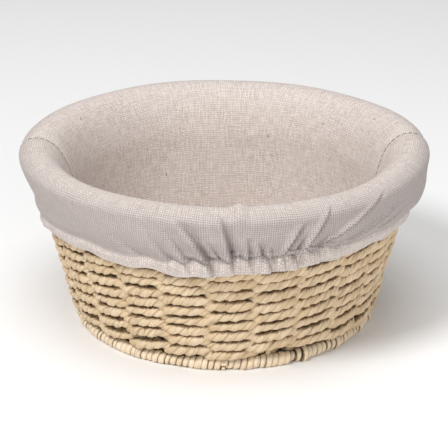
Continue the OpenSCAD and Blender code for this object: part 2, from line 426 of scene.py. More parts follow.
def linen_material(name, pale, mid, dark):
    """Plain-woven linen. Its map counts in millimetres."""
    thread = 0.98     # spacing of the threads
    material, shader, n = new_material(name, mid, 0.92)
    uv = n.uv()
    split = n.new("SeparateXYZ", Vector=uv)

    def thread_wave(axis, drift_scale, wobble_scale):
        """Wave across the threads of one direction, which drift and wobble a little."""
        drift = n.times(n.noise(n.scaled(uv, *drift_scale), 1.0, 1.0), 2.5)
        wobble = n.noise(n.scaled(uv, *wobble_scale), 1.0, 1.0)
        across = n.math("MULTIPLY_ADD", wobble, 0.30, n.math("ADD", split.outputs[axis], drift))
        return n.math("SINE", n.times(across, math.pi / thread))

    def on_top(of_u, of_v):
        """The value of whichever thread lies on top."""
        return n.math("ADD", n.times(of_u, over), n.times(of_v, under))

    wave_u = thread_wave(0, (0.05, 0.05), (0.9, 0.12))
    wave_v = thread_wave(1, (0.045, 0.06), (0.12, 0.9))
    over = n.ramp(n.times(wave_u, wave_v), -0.25, 0.25)
    under = n.math("SUBTRACT", 1.0, over)
    body_u = n.math("ABSOLUTE", wave_u)
    body_v = n.math("ABSOLUTE", wave_v)
    weave = on_top(body_u, body_v)
    hole = n.ramp(n.math("MAXIMUM", body_u, body_v), 0.22, 0.88, 1.0, 0.0)
    slub = on_top(
        n.noise(n.scaled(uv, 1 / thread, 0.15), 1.0, 2.0, 0.6),
        n.noise(n.scaled(uv, 0.15, 1 / thread), 1.0, 2.0, 0.6),
    )
    colour = n.mix(n.ramp(slub, 0.36, 0.64), dark, pale)
    colour = n.mix(0.22, colour, mid)
    colour = n.tinted(colour, under, 0.34, dark)
    cloud = n.noise(n.scaled(uv, 0.06, 0.06), 1.0, 3.0, 0.55)
    colour = n.mix(n.ramp(cloud, 0.35, 0.65, 0.0, 0.30), colour, mid)
    # Painted shade: the outside of the cuff, between the crest and the hem band, is darkened.
    cuff_shade = n.value_from("cuff_shade")
    colour = n.tinted(colour, cuff_shade, 0.72, srgb(176, 166, 163))
    # Painted shade: near-black dots in the gaps between the threads, stronger on the cuff's outside.
    colour = n.tinted(colour, hole, n.math("MULTIPLY_ADD", cuff_shade, 0.25, 0.62), darker(dark, 0.25))
    # Painted shade along the creases of the folds.
    colour = n.tinted(colour, n.value_from("fold_shade"), 0.72, darker(dark, 0.30))
    fleck_cell = n.new("TexVoronoi", Scale=0.13)
    n.feed(fleck_cell.inputs["Vector"], n.scaled(uv, 1.0, 0.6))
    fleck = n.ramp(fleck_cell.outputs["Distance"], 0.045, 0.070, 1.0, 0.0)
    seldom = n.ramp(n.noise(n.scaled(uv, 0.05, 0.05), 1.0, 0.0), 0.52, 0.54)
    colour = n.tinted(colour, n.times(fleck, seldom), 0.8, srgb(92, 62, 50))
    n.feed(shader.inputs["Base Color"], colour)
    height = n.math("ADD", n.times(weave, 0.6), n.times(slub, 0.8))
    n.feed(shader.inputs["Normal"], n.bump(height, 0.6, 0.3 * MM))
    n.feed(shader.inputs["Roughness"], n.ramp(slub, 0.2, 0.8, 0.97, 0.85))
    shader.inputs["Specular IOR Level"].default_value = 0.15
    shader.inputs["Sheen Weight"].default_value = 0.08
    shader.inputs["Sheen Roughness"].default_value = 0.6
    return material


def thread_material(name, colour):
    material, shader, n = new_material(name, colour, 0.8)
    ply = n.noise(n.scaled(n.place(), 1.0, 1.0, 3.0), 2500.0, 1.0)
    twisted = n.mix(n.ramp(ply, 0.35, 0.65), darker(colour, 0.7), colour)
    n.feed(shader.inputs["Base Color"], twisted)
    n.feed(shader.inputs["Normal"], n.bump(ply, 0.5, 0.1 * MM))
    return material


def steel_material(name):
    material, shader, n = new_material(name, (0.42, 0.42, 0.43), 0.42)
    drawn = n.noise(n.scaled(n.place(), 40.0, 900.0, 900.0), 1.0, 2.0)
    colour = n.mix(n.ramp(drawn, 0.3, 0.7), (0.30, 0.30, 0.31), (0.48, 0.48, 0.49))
    n.feed(shader.inputs["Base Color"], colour)
    n.feed(shader.inputs["Roughness"], n.ramp(drawn, 0.3, 0.7, 0.34, 0.55))
    shader.inputs["Metallic"].default_value = 1.0
    return material


STRAW_LIGHT = srgb(235, 213, 181)
STRAW = srgb(215, 188, 150)
STRAW_DARK = srgb(112, 82, 46)
paper = paper_material("paper_cord", STRAW_LIGHT, STRAW, STRAW_DARK)
# Lighter copy of the paper for the hoops: painted light, because the hoops lie in shade under the lamps.
lit_hoop_paper = paper_material("paper_cord_hoop_painted_light", srgb(252, 234, 207), srgb(240, 217, 184), STRAW_DARK)
linen = linen_material("linen", srgb(240, 231, 225), srgb(224, 213, 206), srgb(193, 179, 171))
stitch = thread_material("sewing_thread", srgb(104, 88, 79))
hem_stitch = thread_material("hem_sewing_thread", srgb(196, 185, 178))
steel = steel_material("steel_wire")
rubber, _, _ = new_material("elastic", srgb(236, 233, 226), 0.6)


# ---- wall weave

CORD_OUT = 2.0 * MM       # half thickness of a flattened cord, away from the stake
CORD_UP = 2.85 * MM       # half height of a cord
CORD_TWIST = 11 * MM      # one full turn of the two plies
DIVE = 1.45 * MM          # a cord ends a stretch this far above its course's middle
COURSES = 12
COURSE_HALF = 2.6 * MM    # half height of a course
STEP_FROM, STEP_TO = 22 * DEG, -34 * DEG    # the courses climb by one pitch between these
STARTS = (15.5 * DEG, 4.0 * DEG)            # where each of the two cords begins
END_OVERLAP = 8 * DEG     # how far the cords run on past the last full turn
SAG_FOOT = 2.4 * MM       # the lowest course sinks by this onto the hoop, away from the step
SAG_COURSES = 3           # number of courses that sink


def window(angle, left, right, soft):
    """1 between two angles in degrees, with soft ends."""
    after = 1 + np.exp(-(angle - left * DEG) / (soft * DEG))
    before = 1 + np.exp((angle - right * DEG) / (soft * DEG))
    return 1 / after / before


def course_height(climbed):
    """Height of the course's middle after climbing an angle from the first step."""
    turn = np.floor(climbed / TURN)
    around = climbed - turn * TURN
    rise = eased(np.clip(around / (STEP_FROM - STEP_TO), 0, 1))
    pitch = (weave_high - weave_low - 2 * COURSE_HALF) / (COURSES - 1)
    course = turn + rise - 1
    sag = SAG_FOOT * np.clip(1 - course / SAG_COURSES, 0, 1) ** 1.5 * window(around, 50, 345, 5)
    return weave_low + COURSE_HALF + pitch * course - sag


def wall_cord(which, source, shared_lift):
    """Path and section of one of the two wall weavers, climbing clockwise seen from above."""
    begin, end = STEP_FROM - STARTS[which], COURSES * TURN + END_OVERLAP
    points_a_turn = 1500
    climbed = np.linspace(begin, end, COURSES * points_a_turn)
    angle = STEP_FROM - climbed
    x = (angle - stake_start) / stake_step + which
    x = x + smooth_noise(climbed, 0.9 * stake_step, 0.045, source)
    wave = np.sin(math.pi * x)
    swing = np.cos(math.pi * (x - 0.07))
    swing = np.tanh(1.4 * (swing + 0.42 * (1 - swing * swing))) / math.tanh(1.4)
    z = course_height(climbed) + shared_lift(climbed)
    z = np.minimum(z, weave_high - CORD_UP)
    z = z + DIVE * wave * np.abs(wave) ** 0.9
    z = z + smooth_noise(climbed, stake_step, 0.20 * MM, source)
    z = np.maximum(z, base_z + base_section + 0.66 * CORD_UP)
    reach = stake_section + CORD_OUT
    radius = stake_radius(z) + reach * swing + smooth_noise(climbed, 1.3 * stake_step, 0.16 * MM, source)
    path, s = even_steps(place(angle, radius, z), 1.15 * MM)
    x_at = np.interp(s, np.linspace(0, s[-1], len(x)), x)
    into_end = np.clip(np.cos(math.pi * (x_at - 0.62)), 0, 1) ** 2
    fat = (1 - 0.24 * into_end) * (1 + smooth_noise(s, 16 * MM, 0.04, source))
    return path, s, fat


def build_wall_weave():
    source = np.random.default_rng(5)
    wander = np.random.default_rng(21).normal(0, 0.28 * MM, 2000)

    def shared_lift(climbed):
        return between_levels(wander, climbed / (1.7 * stake_step))

    tilt = math.atan(lean)
    for which, name in ((0, "a"), (1, "b")):
        path, s, fat = wall_cord(which, source, shared_lift)
        tangent = unit(np.gradient(path, axis=0))
        outward = unit(path * [1, 1, 0]) * math.cos(tilt) - np.array([0, 0, 1]) * math.sin(tilt)
        outward = unit(outward - (outward * tangent).sum(-1, keepdims=True) * tangent)
        upward = unit(np.cross(tangent, outward))
        cut = int(len(s) * 0.5)
        for part, span in (("low", slice(0, cut + 1)), ("high", slice(cut, len(s)))):
            bundle = Bundle()
            add_twisted_cord(
                bundle, path[span], s[span], outward[span], upward[span],
                CORD_OUT * fat[span], CORD_UP * fat[span], CORD_TWIST, np.random.default_rng(31 + which),
            )
            node = f"wall_weaver_{name}"
            bundle.piece(f"{node}_{part}", paper, "basket", "paper_cord", node)


build_wall_weave()


# ---- hoops and stakes

def coil_ring(name, ring_r, ring_z, section, strand, thick, node, source):
    """Paper strand wound round a hoop. strand is its width along the hoop, thick its thickness."""
    wraps = int(round(TURN * ring_r / strand))
    steps, sides = 22, 12
    turn = np.linspace(0, TURN * wraps, wraps * steps, endpoint=False)
    slip = smooth_noise(turn, TURN, 0.11, source) + smooth_noise(turn, 10 * TURN, 0.13, source)
    hoop_angle = (turn / TURN + slip * np.sin(turn / 2 / wraps)) / wraps * TURN
    lift = smooth_noise(turn, 6.3, 0.38 * MM, source) - 0.1 * MM
    mid = section - thick / 2 + lift
    outward = place(hoop_angle, 1, 0)
    along = place(hoop_angle + TURN / 4, 1, 0)
    centre = place(hoop_angle, ring_r, ring_z)
    away = outward * np.cos(turn)[:, None] + np.array([0, 0, 1]) * np.sin(turn)[:, None]
    path = centre + away * mid[:, None]
    wide = strand * 0.57 * (1 + smooth_noise(turn, 5.2, 0.15, source))
    theta = np.arange(sides) * TURN / sides
    crease = 1 + sum(
        0.06 * np.cos(k * theta[None, :] + smooth_noise(turn, 3.0, 1.5, source)[:, None])
        for k in (3, 4, 5)
    )
    u = crease * np.cos(theta)[None, :]
    v = crease * np.sin(theta)[None, :]
    points = skin(path, u * wide[:, None], v * thick / 2, along, away)
    points[..., 2] = np.maximum(points[..., 2], 0)
    bundle = Bundle()
    tone = smooth_noise(turn, 6.5, 1.1, source)[:, None]
    # Painted shade along the edges of each wrap, where it meets the next.
    groove_shade = np.clip(np.abs(u) - 0.64, 0, 1)
    bundle.add(points, strand_map(1.5 * theta / TURN, turn * section), tone, groove_shade)
    bundle.piece(name, lit_hoop_paper, "basket", "paper_cord", node)


coil_ring("base_hoop_whipping", base_r, base_z, base_section, 2.95 * MM, 2.1 * MM,
          "base_hoop_wrap", np.random.default_rng(41))
coil_ring("rim_whipping", rim_r, rim_z, rim_section - 0.6 * MM, 4.0 * MM, 1.7 * MM,
          "rim_wrap", np.random.default_rng(42))


def build_stake_wraps():
    """Paper tape wound up each stake."""
    source = np.random.default_rng(43)
    bundle = Bundle()
    foot_z, head_z = stake_foot[1], stake_head[1]
    sides, tape = 10, 2.6 * MM
    for angle in stake_angles:
        z = np.linspace(foot_z, head_z, 90)
        path = place(angle, stake_radius(z), z)
        out = unit(place(angle, 1 + 0 * z, -lean))
        side = np.cross(unit(np.gradient(path, axis=0)), out)
        theta = np.arange(sides) * TURN / sides
        lap = 1 + 0.10 * np.sin(theta[None, :] + (z[:, None] - foot_z) / tape * TURN)
        rho = stake_section * lap * (1 + smooth_noise(z, 3 * MM, 0.03, source)[:, None])
        points = skin(path, rho * np.cos(theta), rho * np.sin(theta), out, side)
        tone = smooth_noise(z, 9 * MM, 1.0, source)[:, None]
        # Painted shade where the wound tape dips between its laps.
        bundle.add(points, strand_map(theta / TURN, z), tone, np.clip(1 - lap, 0, 1))
    bundle.piece("stake_wrapping", paper, "basket", "paper_cord", "stake_wraps")


build_stake_wraps()


# ---- base weave

def rod_lines():
    """Distance of each base rod from the middle, along Y, and the rods' height."""
    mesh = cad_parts["base_rods"].data
    groups = clusters(np.array([v.co.y for v in mesh.vertices]), 3 * MM)
    low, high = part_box("base_rods")
    return [(g[0] + g[-1]) / 2 for g in groups], (low.z + high.z) / 2


def build_base_weave():
    """One cord that runs back and forth over and under the rods and turns inside the hoop."""
    source = np.random.default_rng(51)
    rods, rod_z = rod_lines()
    half_up, half_wide = 1.7 * MM, 2.25 * MM
    low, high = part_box("base_weaver")
    cad_pitch = 4.6 * MM
    count = int(round((high.x - low.x) / cad_pitch))
    reach = base_r - base_section - 2.4 * MM    # leaves room for the cord's turns inside the hoop
    spacing = 2 * (reach - 2.2 * MM) / count
    over = 0.95 * MM + half_up
    shortest = 6 * MM
    bundle = Bundle()
    knots = []
    for i in range(count):
        x = (i - (count - 1) / 2) * spacing
        half_len = math.sqrt(max(reach**2 - (abs(x) + spacing / 2) ** 2, shortest**2))
        going = 1 if i % 2 == 0 else -1
        crossed = [k for k, y in enumerate(rods) if abs(y) < half_len - 3 * MM]
        line = [(x, -half_len, rod_z)]
        line += [(x, rods[k], rod_z + (over if (k + i) % 2 == 0 else -over)) for k in crossed]
        line += [(x, half_len, rod_z)]
        knots += line[::going]
        knots.append((x + spacing / 2, going * (half_len + 1.9 * MM), rod_z + source.normal(0, 0.4 * MM)))
    path, s = even_steps(curve_through(knots[:-1], 14), 1.2 * MM)
    path[:, 0] += smooth_noise(s, 20 * MM, 0.25 * MM, source)
    tangent = unit(np.gradient(path, axis=0))
    up = np.array([0, 0, 1.0])
    side = unit(np.cross(up, tangent))
    upward = unit(np.cross(tangent, side))
    fat = 1 + smooth_noise(s, 12 * MM, 0.04, source)
    add_twisted_cord(bundle, path, s, side, upward, half_wide * fat, half_up * fat, CORD_TWIST, source)
    bundle.piece("base_weaver_cord", paper, "basket", "paper_cord", "base_weaver")


build_base_weave()

for node in ("base_hoop_wire", "rim_hoop_wire", "stake_wires", "base_rods", "rim_core"):
    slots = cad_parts[node].data.materials
    slots.clear()
    slots.append(paper if node == "rim_core" else steel)


# ---- liner

CLOTH = 0.7 * MM                        # thickness of the cloth
FOLD_GAIN = 2.7                         # all gathers are this much deeper than their listed depth
SEAM_LEFT, SEAM_RIGHT = -92 * DEG, 95.5 * DEG    # side seams of the liner, at the crest
SEAM_SLANT = 6 * DEG                    # the side seams run forward by this down to the neck
NECK_IN, NECK_DOWN = 17.5 * MM, 16.4 * MM        # the neck, inside the rim's line and below it
BAND_HEIGHT = 6.6 * MM                  # from the hem's lower edge to its seam
HEM_LIFT = 0.8 * MM                     # the band ends this far above the folded edge
HEM_OFF_WALL = 1.5 * MM                 # the band's cloth stands this far off the wall
LINING_OFF_WALL = 0.40 * MM             # and the layer folded in behind it this far
FOLD_SHADE_OFF = 0.3 * MM                    # a fold's painted shade line lies this far into its valley

# Height of the hem's lower edge round the basket: angle in degrees, height in millimetres
HEM_LINE = [
    (-180, 52), (-135, 50), (-100, 46), (-85, 46.6), (-77, 50.5), (-70, 54), (-63, 55.7), (-50, 56.2),
    (-42, 57.4), (-34, 55.3), (-28, 55), (-22, 56.8), (-13, 54.2), (-8, 54.8), (0, 55.8), (7, 57.2),
    (12, 56.4), (21, 57.2), (29, 58.2), (37, 57.4), (47, 59.0), (55, 57.6), (65, 58.2), (74, 54.5),
    (85, 49.5), (95, 48), (135, 51), (180, 52),
]

# Gathers of the cuff: angle at the hem seam, angle and height of the upper end, depth, width below
# and above, and how one-sided the fold is. Degrees and millimetres.
GATHERS = [
    (-24.0, -33.0, 76, 0.7, 3.2, 6.0, 0.3),
    (-15.0, -21.0, 80, 0.9, 2.4, 6.0, 0.4),
    (-9.5, -16.0, 80, 1.1, 1.6, 4.5, 0.4),
    (-4.0, -12.5, 85, 2.1, 1.3, 3.0, 0.8),
    (-1.5, -4.5, 75, 1.2, 1.1, 2.2, 0.3),
    (1.9, -1.2, 87, 2.4, 1.1, 2.0, 0.8),
    (4.2, 4.5, 71, 0.8, 0.9, 1.5, 0.2),
    (6.5, 6.0, 77, 1.5, 1.1, 2.0, 0.4),
    (10.0, 8.7, 75, 1.3, 1.1, 2.2, 0.4),
    (13.0, 12.0, 72, 0.9, 0.9, 1.6, 0.2),
    (15.4, 21.0, 82, 2.4, 1.0, 1.9, -0.8),
    (18.4, 22.0, 76, 1.3, 1.1, 2.2, -0.4),
    (20.8, 29.0, 87, 2.5, 1.0, 2.1, -0.8),
    (24.6, 47.0, 86, 2.5, 1.1, 2.6, -0.8),
    (31.5, 55.0, 78, 1.5, 1.4, 3.4, -0.6),
    (36.0, 62.0, 74, 0.8, 2.0, 4.5, -0.3),
    (160.0, 150.0, 80, 1.2, 1.6, 4.5, -0.4),
    (168.0, 164.0, 82, 1.5, 1.4, 3.5, -0.5),
    (174.0, 172.0, 76, 1.2, 1.3, 3.0, 0.3),
    (179.0, 180.0, 84, 1.8, 1.3, 3.2, 0.5),
    (184.0, 188.0, 75, 1.2, 1.3, 3.0, 0.3),
    (190.0, 197.0, 83, 1.6, 1.4, 4.0, 0.5),
    (199.0, 212.0, 80, 1.1, 1.8, 5.0, 0.4),
]

# Folds that run on into the hem below its seam: angle, depth and width. Degrees and millimetres.
RUFFLES = [
    (-10.5, 0.9, 1.8), (-4.2, 2.7, 1.4), (1.6, 1.3, 1.0), (6.8, 0.8, 0.9), (12.0, 2.4, 1.2),
    (16.2, 1.0, 1.0), (19.7, 2.5, 1.2), (26.5, 1.2, 1.8), (34.0, 0.9, 2.2), (162, 1.0, 1.6),
    (170, 1.6, 1.4), (177, 2.0, 1.3), (184, 1.4, 1.2), (191, 1.8, 1.4), (199, 0.9, 2.0),
]


def angle_between(a, b):
    """Signed difference of two angles, wrapped to half a turn."""
    return (a - b + math.pi) % TURN - math.pi


def off_seams(angle):
    """Distance from the nearer side seam."""
    right, left = (np.abs(angle_between(angle, seam)) for seam in (SEAM_RIGHT, SEAM_LEFT))
    return np.minimum(right, left) * rim_r


def gather_weight(angle):
    """1 where the hem is gathered, at the front and at the back, falling to 0 at the sides."""
    front = window(angle_between(angle, 0), -15, 33, 2.5)
    return front + 0.8 * window(angle_between(angle, 0) % TURN, 158, 200, 4)


def hem_height(angle):
    """Height of the hem's lower edge at each angle."""
    dense = np.arange(-180, 180, 1.0)
    level = np.interp(dense, *np.array(HEM_LINE, float).T, period=360)
    kernel = np.hanning(9)
    kernel /= kernel.sum()
    level = np.convolve(np.concatenate([level[-4:], level, level[:4]]), kernel, "valid")
    return np.interp(np.degrees(angle), dense, level, period=360) * MM


def wall_face(z):
    """Outer face of the woven wall at a height."""
    return stake_radius(z) + stake_section + 2 * CORD_OUT + 0.45 * MM


def pleat(d, left, right, edge):
    """Section of a laid-over fold: a ridge on the left that drops sharply into a valley on the right."""
    past = 0.5 + 0.5 * np.tanh(d / edge)
    return 0.85 * np.exp(-((d / left) ** 2)) * (1 - past) - np.exp(-((d / right) ** 2)) * past


class Cuff:
    """Middle surface of the liner's cloth as radius and height over angle and row."""

    INNER, NECK, OUTER, BAND, FOLD = 22, 16, 62, 12, 7

    def __init__(self, source):
        self.lumps = [
            (source.uniform(-math.pi, math.pi), source.uniform(0.2, 0.9), source.normal(0, 0.55 * MM),
             source.uniform(4, 14) * DEG, source.uniform(0.12, 0.35))
            for _ in range(46)
        ]
        self.ruffle = source.uniform(0, TURN, 4)
        self.waves = source.uniform(0, TURN, 12)
        self.fold_shade = []
        self.seam_shift = 0

    def rows(self, angle):
        """List of (radius, height) for every row of cloth, from the foot to the layer behind the hem.

        Also keeps, for each row, how much painted shade lies along its fold creases.
        """
        gather = gather_weight(angle)
        hem = hem_height(angle) + 0.25 * MM * np.sin(31 * angle + self.ruffle[0])
        drawn_up = gather * (2.6 * MM + 1.1 * MM * np.sin(60 * angle + self.ruffle[2]))
        seam = hem_height(angle) + BAND_HEIGHT + drawn_up
        rows = self.inner_rows(angle)
        self.fold_shade = [0 * angle] * len(rows)
        rows += self.outer_rows(angle, seam, gather)
        rows += self.band_rows(angle, seam, hem, gather)
        self.fold_shade += [0 * angle] * (len(rows) - len(self.fold_shade))
        return rows

    def inner_rows(self, angle):
        """From the foot of the inner wall up through the neck to the crest."""
        foot_r = floor_r + 0.2 * MM
        neck_r, neck_z = rim_r - NECK_IN, rim_z - NECK_DOWN
        slack = 0.5 * MM * np.sin(5 * angle + self.waves[0])
        slack = slack + 0.35 * MM * np.sin(9 * angle + self.waves[1])
        rows = []
        for i in range(self.INNER):
            t = i / self.INNER
            bow = math.sin(math.pi * t)
            radius = foot_r + (neck_r - foot_r) * t + bow * (0.9 * MM + slack) + t * slack
            rows.append((radius, floor_z + 0.9 * MM + (neck_z - floor_z) * t + 0 * angle))
        top_z = self.crest_height(angle)
        pull_r, pull_z = neck_r + 5.2 * MM, top_z
        for i in range(self.NECK):
            t = i / self.NECK
            a, b, c = (1 - t) ** 2, 2 * t * (1 - t), t * t
            radius = a * neck_r + b * pull_r + c * crest_r + (1 - t) * slack
            rows.append((radius, a * neck_z + b * pull_z + c * top_z))
        return rows

    def crest_height(self, angle):
        """The rolled edge: lower at the front and at the side seams, with one ruck near the front."""
        ruck = 1.6 * MM * bell(angle_between(angle, 4.2 * DEG), 1.7 * DEG)
        wave = 0.25 * MM * np.sin(3 * angle + self.waves[2])
        wave = wave + 0.2 * MM * np.sin(8 * angle + self.waves[3])
        dip = 1.1 * MM * bell(off_seams(angle), 5 * MM)
        front = 0.9 * MM * np.clip(np.cos(angle), 0, 1) ** 2
        return crest_z - CLOTH / 2 - 0.3 * MM + wave + ruck - dip - front

    def outer_rows(self, angle, seam, gather):
        """From the crest over the roll and down the cuff to the hem seam."""
        top_z = self.crest_height(angle)
        left = np.clip(-np.sin(angle), 0, 1) ** 3
        right = np.clip(np.sin(angle), 0, 1) ** 3
        widest = cuff_r - CLOTH / 2 - 0.2 * MM
        seam_r = wall_face(seam) + HEM_OFF_WALL + 0.7 * MM * gather
        puff = 1.7 * MM + 1.5 * MM * gather
        low_z = top_z - 19 * MM
        knots = [
            (crest_r, top_z),
            (crest_r + 3.5 * MM, top_z - 1.0 * MM),
            (crest_r + 6.2 * MM, top_z - 3.8 * MM),
            (widest - 0.5 * MM - 0.5 * MM * left, top_z - 8.5 * MM),
            (widest - 1.0 * MM - 2.1 * MM * left + 0.2 * MM * right, top_z - 13.5 * MM),
            (widest - 2.7 * MM - 2.8 * MM * left + 1.5 * MM * right, low_z),
            (seam_r + puff + 0.5 * MM + 1.6 * MM * right, seam + 0.36 * (low_z - seam) + 1.2 * MM),
            (seam_r, seam),
        ]
        before = (crest_r - 3.5 * MM, top_z - 1.0 * MM)
        spans = len(knots) - 1
        per = self.OUTER / spans
        rows = []
        for j in range(self.OUTER):
            t = j / per
            k = min(int(t), spans - 1)
            picks = [knots[k - 1] if k else before, knots[k], knots[k + 1], knots[min(k + 2, spans)]]
            w = spline_weights(t - k)
            radius = sum(wi * p[0] for wi, p in zip(w, picks))
            z = sum(wi * p[1] for wi, p in zip(w, picks))
            down = j / self.OUTER
            shift = self.folds(angle, radius, z, down, seam)
            if j == self.OUTER - 1:
                self.seam_shift = shift
            clear = np.where(z < weave_high, wall_face(z) + 0.9 * MM, 0)
            rows.append((np.maximum(radius + shift, clear), z))
        return rows

    def folds(self, angle, radius, z, down, seam):
        """Outward shift of the cuff from its gathers and its loose lumps."""
        shift = 0 * angle
        fold_shade = 0 * angle
        for low_a, high_a, high_z, depth, w_low, w_high, step in GATHERS:
            top = high_z * MM
            t = np.clip((top - z) / (top - seam), 0, 1)
            centre = (high_a + (low_a - high_a) * t**0.85) * DEG
            width = (w_high + (w_low - w_high) * t) * MM
            far = angle_between(angle, centre) * radius
            d = far / width
            valley = 0.34 * np.exp(-((np.abs(d) - 2.0) ** 2) / 1.3) - np.exp(-1.25 * np.abs(d))
            soft = valley * (1 - 0.5 * abs(step)) - step * d * np.exp(-d * d / 1.6) * 1.3
            edge = (0.35 + 0.9 * (1 - t)) * MM
            laid = pleat(far, 1.5 * width, (2.0 if step > 0 else 1.15) * width, edge)
            share = min(1.0, 1.5 * abs(step))
            strength = FOLD_GAIN * depth * MM * t**0.55 * (1 - 0.25 * np.clip(t - 0.85, 0, 1) / 0.15)
            shift = shift + strength * ((1 - share) * soft + 0.78 * share * laid)
            # Painted shade: a thin dark line along the valley of each gather.
            fold_shade = fold_shade + t**0.6 * min(1.0, depth / 1.8) * bell(far - FOLD_SHADE_OFF, 0.55 * MM)
        for at, level, size, wide, tall in self.lumps:
            lump = bell(angle_between(angle, at), wide) * bell(down - level, tall)
            shift = shift + size * lump * (0.3 + down)
        self.fold_shade.append(np.clip(fold_shade * (1 + 0.4 * (down > 0.95)), 0, 1))
        return shift * min(1.0, down * 5)

    def band_rows(self, angle, seam, hem, gather):
        """Hem band below the seam, its folded lower edge and the inner layer behind it."""
        rows = []
        for j in range(1, self.BAND):
            t = j / (self.BAND - 1)
            z = seam + (hem + HEM_LIFT - seam) * t
            belly = math.sin(math.pi * min(t * 1.1, 1)) * 0.7 * MM
            base = wall_face(z) + HEM_OFF_WALL + 0.2 * MM * t + gather * (0.7 * MM + 1.1 * MM * t)
            ruffle = 0 * angle
            # Painted shade: a dark line just under the hem seam and along each ruffle's valley.
            fold_shade = (0.25 + 0.45 * gather) * (j == 1)
            for at, depth, width in RUFFLES:
                far = angle_between(angle, (at + 1.5 * (t - 0.4)) * DEG) * rim_r
                wide = width * (1.1 + 0.9 * t) * MM
                ruffle = ruffle + depth * MM * pleat(far, 1.7 * wide, 1.5 * wide, 0.4 * MM)
                fold_shade = fold_shade + (1 - 0.6 * t) * min(1.0, depth / 2.0) * bell(far - FOLD_SHADE_OFF, 0.5 * MM)
            self.fold_shade.append(np.clip(fold_shade, 0, 1) + 0 * angle)
            ruffle = ruffle * min(1.0, 3 * t) * (1 - 0.45 * t)
            radius = base + belly + self.seam_shift * (1 - t) ** 2.5 + ruffle
            rows.append((np.maximum(radius, wall_face(z) + 1.0 * MM + 0.3 * MM * t), z))
        edge_r = rows[-1][0]
        inner_r = wall_face(hem) + LINING_OFF_WALL
        half = (edge_r - inner_r) / 2
        for j in range(1, self.FOLD):
            a = math.pi * j / (self.FOLD - 1)
            rows.append((inner_r + half + half * np.cos(a), hem + HEM_LIFT * (1 - math.sin(a))))
        for lift in (1.5, 3.5, 5.5):
            z = hem + HEM_LIFT + lift * MM
            rows.append((wall_face(z) + LINING_OFF_WALL + 0 * angle, z))
        return rows


def cloth_length(radius, z):
    """Distance along the cloth from its foot, in millimetres, averaged over the angles."""
    step = np.hypot(np.diff(radius, axis=0), np.diff(z, axis=0)).mean(axis=1)
    return np.concatenate([[0], np.cumsum(step)]) / MM


def grid_normals(points):
    return unit(np.cross(np.gradient(points, axis=1), np.gradient(points, axis=0)))


def shell(points, uv, thickness):
    """Closed skin from a grid of middle-surface points: rows x columns x 3."""
    rows, cols = points.shape[:2]
    normal = grid_normals(points)
    a = (np.arange(rows - 1)[:, None] * cols + np.arange(cols - 1)[None, :]).ravel()
    front = np.stack([a, a + 1, a + cols + 1, a + cols], -1)
    back = front[:, ::-1] + rows * cols
    faces = front.tolist() + back.tolist()
    edge = (
        list(range(cols))
        + [i * cols + cols - 1 for i in range(1, rows)]
        + [(rows - 1) * cols + i for i in range(cols - 2, -1, -1)]
        + [i * cols for i in range(rows - 2, 0, -1)]
    )
    for i, j in zip(edge, edge[1:] + edge[:1]):
        faces.append([j, i, i + rows * cols, j + rows * cols])
    sides = [points + normal * thickness / 2, points - normal * thickness / 2]
    verts = np.concatenate([side.reshape(-1, 3) for side in sides])
    return verts, faces, np.concatenate([uv.reshape(-1, 2)] * 2)


def seam_dip(angle):
    """Outward shift at the side seams: a groove with a low ridge on each side."""
    d = off_seams(angle)
    return 0.25 * MM * bell(d - 2.6 * MM, 1.4 * MM) - 0.55 * MM * bell(d, 0.9 * MM)


def seam_slant(angle, z, outside):
    """How far each point of the inner wall is drawn forward near the side seams."""
    neck_z = rim_z - NECK_DOWN
    up = np.clip((z - neck_z) / (crest_z - neck_z), 0, 1)
    amount = SEAM_SLANT * np.where(outside[:, None], 0, 1 - eased(up))
    left, right = (bell(angle_between(angle, seam), 24 * DEG) for seam in (SEAM_LEFT, SEAM_RIGHT))
    return amount * (left - right)[None, :]


def packed_angles(start, end, columns):
    """Column angles from start to end, closer together where the hem is gathered."""
    dense = np.linspace(start, end, 4000)
    shift = 12 * DEG      # the right-hand gathers reach further out
    weight = 1 + 2.4 * np.clip(gather_weight(dense) + gather_weight(dense - shift), 0, 1)
    total = np.concatenate([[0], np.cumsum((weight[1:] + weight[:-1]) / 2)])
    return np.interp(np.linspace(0, total[-1], columns), total, dense)


def build_cloth_half(name, start, end, columns, cuff, nodes):
    """One half of the liner: inner wall, rolled edge, cuff and hem in a single cloth."""
    angle = packed_angles(start, end, columns)
    rows = cuff.rows(angle)
    radius = np.array([r for r, _ in rows])
    z = np.array([h for _, h in rows])
    past_crest = np.arange(len(rows)) - cuff.INNER - cuff.NECK
    outside = past_crest > 0
    dip = seam_dip(angle)[None, :]
    radius = radius + np.where(outside[:, None], dip, 0.5 * dip)
    points = place(angle[None, :] + seam_slant(angle, z, outside), radius, z)
    uv = together(angle[None, :] * rim_r / MM, cloth_length(radius, z)[:, None])
    verts, faces, uv2 = shell(points, uv, CLOTH)
    # Painted shade mask: rises over the crest onto the cuff's outside and falls away again on the hem
    # band.
    over_rim = np.clip((past_crest + 2) / 22, 0, 1) ** 0.8
    in_band = np.clip((past_crest - cuff.OUTER + 2) / 4, 0, 1)
    cuff_shade = (over_rim - 0.95 * in_band)[:, None] + 0 * radius
    values = {"cuff_shade": cuff_shade, "fold_shade": np.array(cuff.fold_shade)}
    make_piece(name, verts, faces, linen, "liner", nodes, uv=uv2,
               values={key: np.concatenate([v.ravel()] * 2) for key, v in values.items()})
    return points


def build_liner():
    cuff = Cuff(np.random.default_rng(61))
    gap = 0.0002          # angle left open at each side seam
    ends = {"front": (SEAM_LEFT, SEAM_RIGHT, 408), "back": (SEAM_RIGHT, SEAM_LEFT + TURN, 300)}
    halves = [
        build_cloth_half(f"liner_{half}_cloth", start + gap, end - gap, columns, cuff,
                         (f"liner_{half}", f"cuff_{half}"))
        for half, (start, end, columns) in ends.items()
    ]
    build_floor()
    return cuff, *halves


